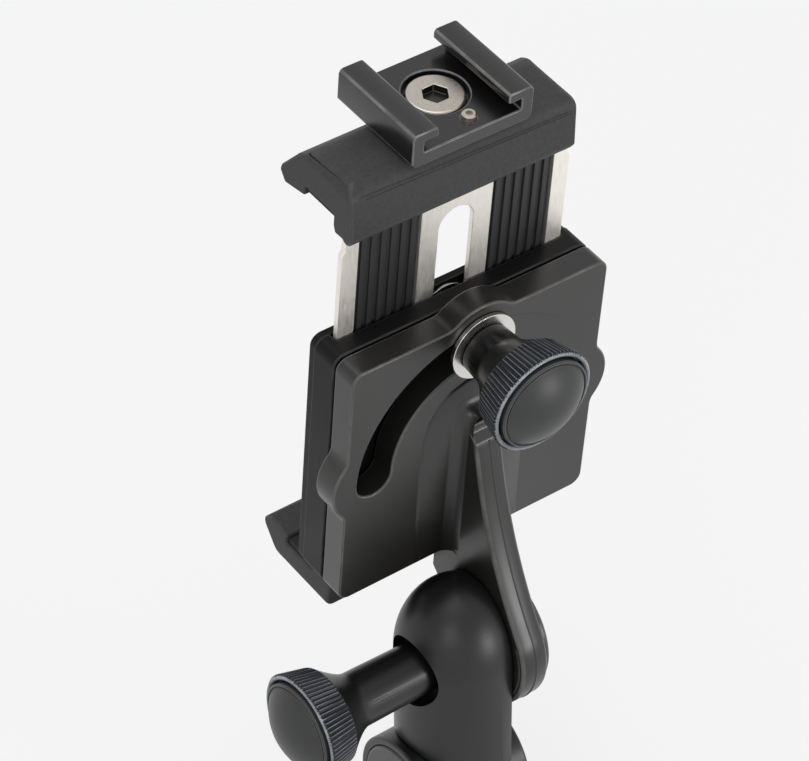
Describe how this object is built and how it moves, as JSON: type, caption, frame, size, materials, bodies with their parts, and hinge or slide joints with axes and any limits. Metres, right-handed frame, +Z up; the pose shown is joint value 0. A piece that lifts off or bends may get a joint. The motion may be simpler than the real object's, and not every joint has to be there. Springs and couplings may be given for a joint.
{
  "type": "tripod phone mount adapter",
  "caption": "Phone clamp with a sliding upper jaw and an accessory shoe, on a rotating back plate, a tilting arm and a short folding post with a threaded tripod socket.",
  "frame": {"origin": "centre of the tripod socket's mouth, in the plane of the foot pad's underside", "axes": "+Z up the post, +Y from the post towards the phone, +X towards the arm's side; the tilt and fold axes lie along X"},
  "size_m": [0.0715, 0.0515, 0.1552],
  "materials": {
    "casting": "satin dark warm grey paint",
    "post_metal": "satin charcoal paint",
    "body_plastic": "fine satin texture",
    "jaw_plastic": "rough matte texture",
    "rib_plastic": "matte",
    "soft_rubber": "matte rubber",
    "knob_metal": "dark anodised, knurled",
    "knob_cap": "smooth satin grey",
    "shoe_metal": "black anodised",
    "steel": "brushed",
    "steel_bright": "polished",
    "brass": "turned",
    "screw_black": "black oxide"
  },
  "bodies": {
    "base": {"base": "post_metal", "foot_pad": "soft_rubber", "thread_insert": "brass", "fold_pin": "steel", "fold_cap_left": "casting", "fold_cap_right": "casting"},
    "post": {"post": "post_metal", "tilt_washer": "steel"},
    "arm": {"arm_plate": "casting", "eye_cap": "casting", "tilt_bolt": "steel", "pivot_pin": "steel"},
    "tilt_knob": {"tilt_knob_body": "knob_metal", "tilt_knob_grip": "knob_metal", "tilt_knob_cap": "knob_cap", "tilt_knob_nut": "brass"},
    "clamp": {"shell": "body_plastic", "cover": "body_plastic", "back_pad": "soft_rubber", "cover_screws": "screw_black", "clamp_stud": "steel_bright", "turn_washer": "steel_bright", "pivot_washer": "steel", "lower_jaw": "jaw_plastic", "lower_jaw_pad": "soft_rubber", "lower_jaw_screws": "screw_black"},
    "turn_knob": {"turn_knob_body": "knob_metal", "turn_knob_grip": "knob_metal", "turn_knob_cap": "knob_cap", "turn_knob_nut": "brass"},
    "upper_jaw": {"slider_plate": "steel", "rib_panel_left": "rib_plastic", "rib_panel_right": "rib_plastic", "upper_jaw": "jaw_plastic", "upper_jaw_pad": "soft_rubber", "shoe": "shoe_metal", "shoe_screw": "steel", "shoe_stop_pin": "steel"}
  },
  "joints": [
    {"name": "base_fold", "type": "hinge", "parent": "base", "child": "post", "pos_m": [-0.00245, 0, 0.0214], "axis": [1, 0, 0], "range_deg": [-90, 90]},
    {"name": "tilt", "type": "hinge", "parent": "post", "child": "arm", "pos_m": [0.00415, 0, 0.0493], "axis": [1, 0, 0], "range_deg": [-60, 90]},
    {"name": "tilt_knob_turn", "type": "hinge", "parent": "post", "child": "tilt_knob", "pos_m": [-0.0109, 0, 0.0493], "axis": [1, 0, 0], "continuous": true},
    {"name": "rotation", "type": "hinge", "parent": "arm", "child": "clamp", "pos_m": [0.0068, 0.00987, 0.09023], "axis": [0, 0.994, 0.1097], "range_deg": [-90, 90]},
    {"name": "turn_knob_turn", "type": "hinge", "parent": "clamp", "child": "turn_knob", "pos_m": [0.0068, 0.00171, 0.10945], "axis": [0, 0.994, 0.1097], "continuous": true},
    {"name": "jaw_slide", "type": "slide", "parent": "clamp", "child": "upper_jaw", "axis": [0, -0.1097, 0.994], "range_m": [-0.019, 0.013]}
  ]
}
